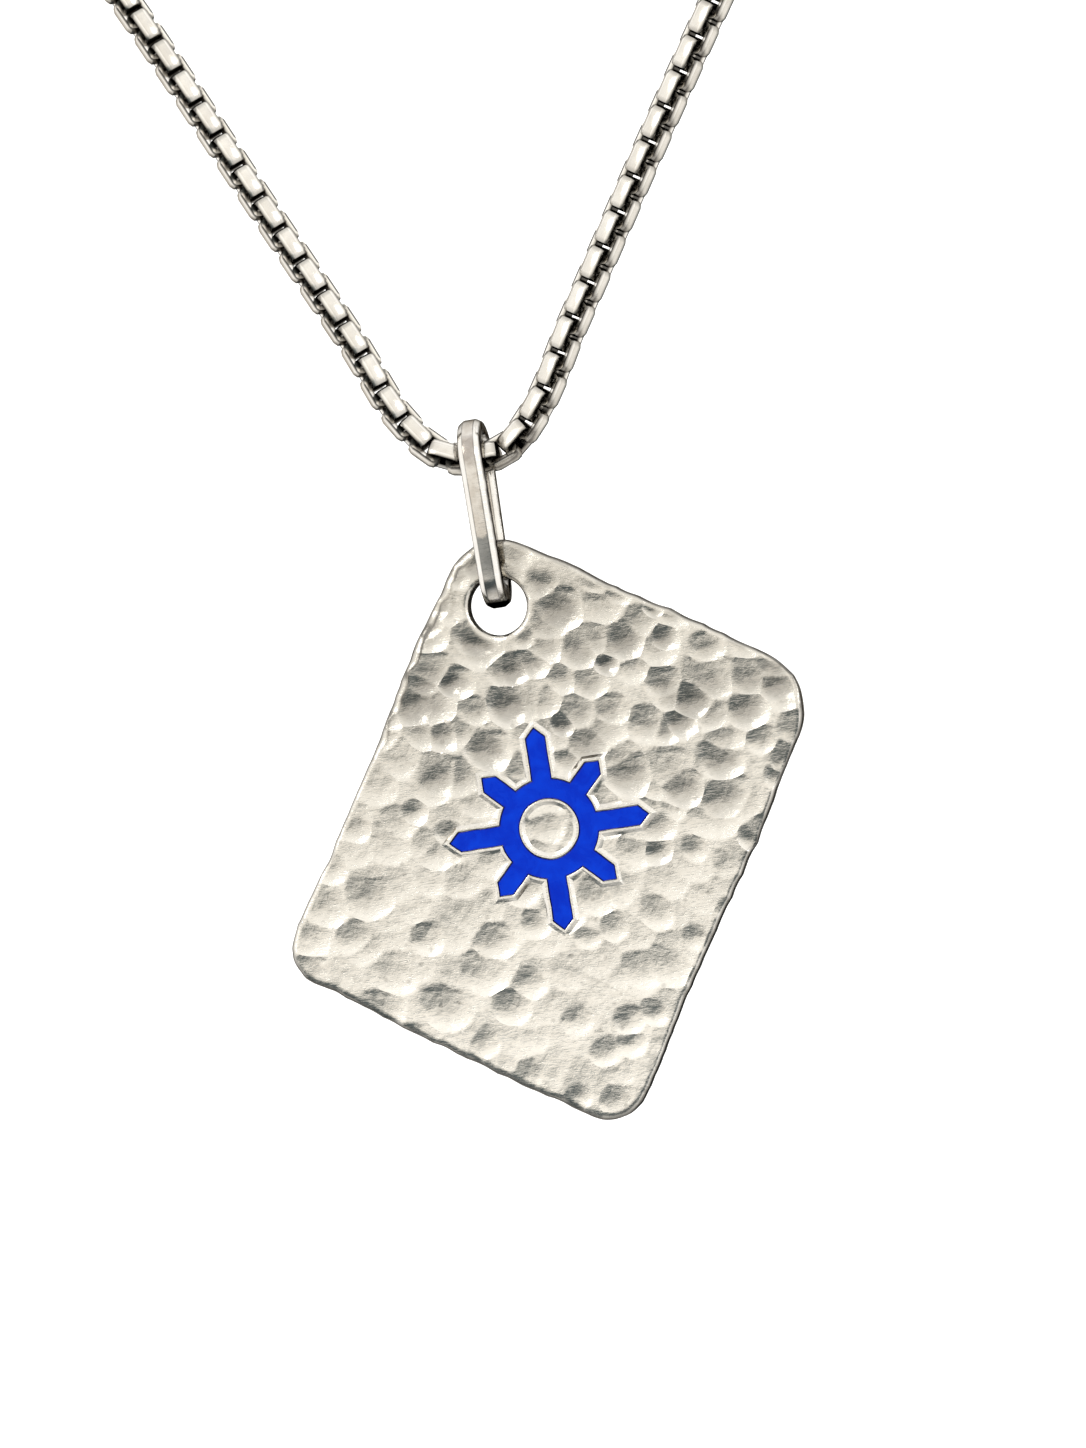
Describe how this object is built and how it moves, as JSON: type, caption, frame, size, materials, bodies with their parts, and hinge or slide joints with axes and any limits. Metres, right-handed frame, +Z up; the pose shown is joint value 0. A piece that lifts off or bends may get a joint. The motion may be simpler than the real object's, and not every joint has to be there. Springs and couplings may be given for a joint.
{
  "type": "dog tag pendant on a chain necklace",
  "caption": "Hammered silver dog tag with a blue enamel sun, hung through a corner hole on an oval bail, on a closed rounded box chain with a plain clasp.",
  "frame": {"origin": "middle of the clasp, where the necklace lies on the nape of the neck", "axes": "+Z up, -Y the front, where the tag hangs, +X to the right seen from the front"},
  "size_m": [0.124, 0.1125, 0.2013],
  "materials": {
    "tag_silver": "hammered silver, polished on the ridges, darker in the dents",
    "blue_enamel": "opaque blue enamel, glossy, slightly mottled",
    "bail_silver": "polished silver with fine wear",
    "chain_silver": "polished silver, darker between the links",
    "clasp_silver": "polished silver with fine wear"
  },
  "bodies": {
    "necklace": {"chain": "chain_silver", "clasp": "clasp_silver"},
    "bail": {"bail": "bail_silver"},
    "tag": {"tag": "tag_silver", "enamel": "blue_enamel"}
  },
  "joints": [
    {"name": "bail_swing", "type": "hinge", "parent": "necklace", "child": "bail", "pos_m": [-0.007, -0.108, -0.152], "axis": [1, 0, 0], "range_deg": [-90, 90]},
    {"name": "tag_sway", "type": "hinge", "parent": "bail", "child": "tag", "pos_m": [-0.007, -0.108, -0.16266], "axis": [0, 1, 0], "range_deg": [-60, 60]}
  ]
}
